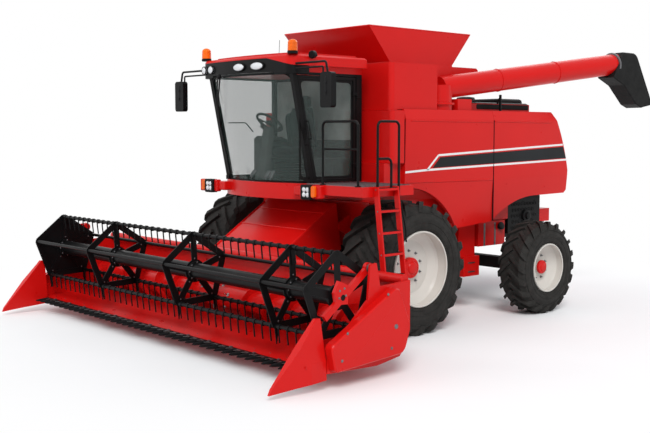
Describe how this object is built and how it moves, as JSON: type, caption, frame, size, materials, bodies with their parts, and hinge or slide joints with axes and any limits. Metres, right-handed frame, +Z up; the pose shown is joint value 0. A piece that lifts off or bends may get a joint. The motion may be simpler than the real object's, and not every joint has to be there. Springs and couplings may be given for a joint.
{
  "type": "combine harvester",
  "caption": "Self-propelled combine harvester with a grain header, tined reel, glazed cab, grain tank and swinging unloading tube.",
  "frame": {"origin": "on the ground, under the middle of the machine and its header", "axes": "+Z up, -Y the way it drives, +X its left side"},
  "size_m": [6.94, 9.2497, 4.31],
  "materials": {
    "red_paint": "gloss",
    "black_paint": "satin",
    "white_paint": "gloss",
    "tyre_rubber": "matt",
    "black_rubber": "matt",
    "black_plastic": "matt",
    "tinted_glass": "clear",
    "lamp_glass": "clear",
    "amber_plastic": "gloss",
    "seat_fabric": "woven",
    "bare_steel": "worn",
    "cast_block": "rough"
  },
  "bodies": {
    "chassis": {"auger_turret": "red_paint", "beacons": "amber_plastic", "cab_base": "red_paint", "cab_controls": "black_plastic", "cab_frame": "black_paint", "cab_glass": "tinted_glass", "cab_roof": "red_paint", "cab_visor": "black_paint", "chassis_frame": "black_paint", "driver_seat": "seat_fabric", "engine_block": "cast_block", "engine_hood": "red_paint", "front_axle": "red_paint", "fuel_tank": "red_paint", "grain_tank": "red_paint", "grain_tank_extension": "red_paint", "handrails": "black_paint", "ladder": "red_paint", "marker_lamps": "black_plastic", "mirrors": "black_paint", "platform": "red_paint", "rear_axle": "black_paint", "roof_lamps": "lamp_glass", "separator_body": "red_paint", "side_panels_left": "red_paint", "side_panels_right": "red_paint", "straw_chopper": "black_paint", "straw_deflector": "red_paint", "toolbox": "red_paint"},
    "cab_door_leaf": {"cab_door": "black_paint", "cab_door_glass": "tinted_glass"},
    "front_wheel_left": {"front_tyre_left": "tyre_rubber", "front_rim_left": "white_paint"},
    "front_wheel_right": {"front_tyre_right": "tyre_rubber", "front_rim_right": "white_paint"},
    "knuckle_left": {"steering_knuckle_left": "red_paint"},
    "knuckle_right": {"steering_knuckle_right": "red_paint"},
    "rear_wheel_left": {"rear_tyre_left": "tyre_rubber", "rear_rim_left": "white_paint"},
    "rear_wheel_right": {"rear_tyre_right": "tyre_rubber", "rear_rim_right": "white_paint"},
    "header": {"feeder_house": "red_paint", "header_frame": "red_paint", "cutterbar": "black_paint", "crop_dividers": "red_paint", "end_shields": "red_paint"},
    "auger": {"header_auger": "red_paint"},
    "reel_lift_arms": {"reel_arms": "red_paint"},
    "reel": {"reel_frame": "black_paint"},
    "cylinder_barrels": {"lift_cylinder_barrels": "black_paint"},
    "cylinder_rods": {"lift_cylinder_rods": "bare_steel"},
    "unloader": {"unloading_tube": "red_paint", "unloading_spout": "black_rubber"},
    "bat_1": {"reel_bat_1": "black_paint"},
    "bat_2": {"reel_bat_2": "black_paint"},
    "bat_3": {"reel_bat_3": "black_paint"},
    "bat_4": {"reel_bat_4": "black_paint"},
    "bat_5": {"reel_bat_5": "black_paint"}
  },
  "joints": [
    {"name": "front_wheel_left_turn", "type": "hinge", "parent": "chassis", "child": "front_wheel_left", "pos_m": [1.8, -0.99342, 0.925], "axis": [1, 0, 0], "continuous": true},
    {"name": "steer_left", "type": "hinge", "parent": "chassis", "child": "knuckle_left", "pos_m": [1.49, 1.75658, 0.71], "axis": [0, 0, 1], "range_deg": [-25, 25]},
    {"name": "rear_wheel_left_turn", "type": "hinge", "parent": "knuckle_left", "child": "rear_wheel_left", "pos_m": [1.96, 1.75658, 0.71], "axis": [1, 0, 0], "continuous": true},
    {"name": "front_wheel_right_turn", "type": "hinge", "parent": "chassis", "child": "front_wheel_right", "pos_m": [-1.8, -0.99342, 0.925], "axis": [1, 0, 0], "continuous": true},
    {"name": "steer_right", "type": "hinge", "parent": "chassis", "child": "knuckle_right", "pos_m": [-1.49, 1.75658, 0.71], "axis": [0, 0, 1], "range_deg": [-25, 25]},
    {"name": "rear_wheel_right_turn", "type": "hinge", "parent": "knuckle_right", "child": "rear_wheel_right", "pos_m": [-1.96, 1.75658, 0.71], "axis": [1, 0, 0], "continuous": true},
    {"name": "cab_door_swing", "type": "hinge", "parent": "chassis", "child": "cab_door_leaf", "pos_m": [0.974, -1.20442, 2.8], "axis": [0, 0, 1], "range_deg": [0, 85]},
    {"name": "header_lift", "type": "hinge", "parent": "chassis", "child": "header", "pos_m": [0, -1.34342, 1.45], "axis": [-1, 0, 0], "range_deg": [0, 18]},
    {"name": "header_auger_turn", "type": "hinge", "parent": "header", "child": "auger", "pos_m": [0, -2.88342, 0.531], "axis": [1, 0, 0], "continuous": true},
    {"name": "reel_lift", "type": "hinge", "parent": "header", "child": "reel_lift_arms", "pos_m": [0, -3.19342, 1.27], "axis": [-1, 0, 0], "range_deg": [0, 20]},
    {"name": "reel_turn", "type": "hinge", "parent": "reel_lift_arms", "child": "reel", "pos_m": [0, -3.58942, 0.977], "axis": [1, 0, 0], "continuous": true},
    {"name": "reel_bat_1_turn", "type": "hinge", "parent": "reel", "child": "bat_1", "pos_m": [0, -3.61227, 1.46146], "axis": [1, 0, 0], "continuous": true},
    {"name": "reel_bat_2_turn", "type": "hinge", "parent": "reel", "child": "bat_2", "pos_m": [0, -4.05723, 1.10498], "axis": [1, 0, 0], "continuous": true},
    {"name": "reel_bat_3_turn", "type": "hinge", "parent": "reel", "child": "bat_3", "pos_m": [0, -3.8557, 0.57163], "axis": [1, 0, 0], "continuous": true},
    {"name": "reel_bat_4_turn", "type": "hinge", "parent": "reel", "child": "bat_4", "pos_m": [0, -3.28618, 0.59849], "axis": [1, 0, 0], "continuous": true},
    {"name": "reel_bat_5_turn", "type": "hinge", "parent": "reel", "child": "bat_5", "pos_m": [0, -3.13573, 1.14844], "axis": [1, 0, 0], "continuous": true},
    {"name": "lift_barrel_turn", "type": "hinge", "parent": "chassis", "child": "cylinder_barrels", "pos_m": [0, -1.19342, 0.56], "axis": [-1, 0, 0], "range_deg": [0, 16.5]},
    {"name": "lift_rod_slide", "type": "slide", "parent": "cylinder_barrels", "child": "cylinder_rods", "axis": [0, -0.9846, -0.175], "range_m": [0, 0.285]},
    {"name": "unloader_swing", "type": "hinge", "parent": "chassis", "child": "unloader", "pos_m": [1.16, 0.32658, 3.45], "axis": [0, 0, -1], "range_deg": [0, 95]}
  ],
  "couplings": [
    {"joint": "reel_bat_1_turn", "follows": "reel_turn", "ratio": -1},
    {"joint": "reel_bat_2_turn", "follows": "reel_turn", "ratio": -1},
    {"joint": "reel_bat_3_turn", "follows": "reel_turn", "ratio": -1},
    {"joint": "reel_bat_4_turn", "follows": "reel_turn", "ratio": -1},
    {"joint": "reel_bat_5_turn", "follows": "reel_turn", "ratio": -1},
    {"joint": "steer_right", "follows": "steer_left", "ratio": 1},
    {"joint": "lift_barrel_turn", "follows": "header_lift", "ratio": 0.8889},
    {"joint": "lift_rod_slide", "follows": "header_lift", "m_per_rad": 0.8913}
  ]
}
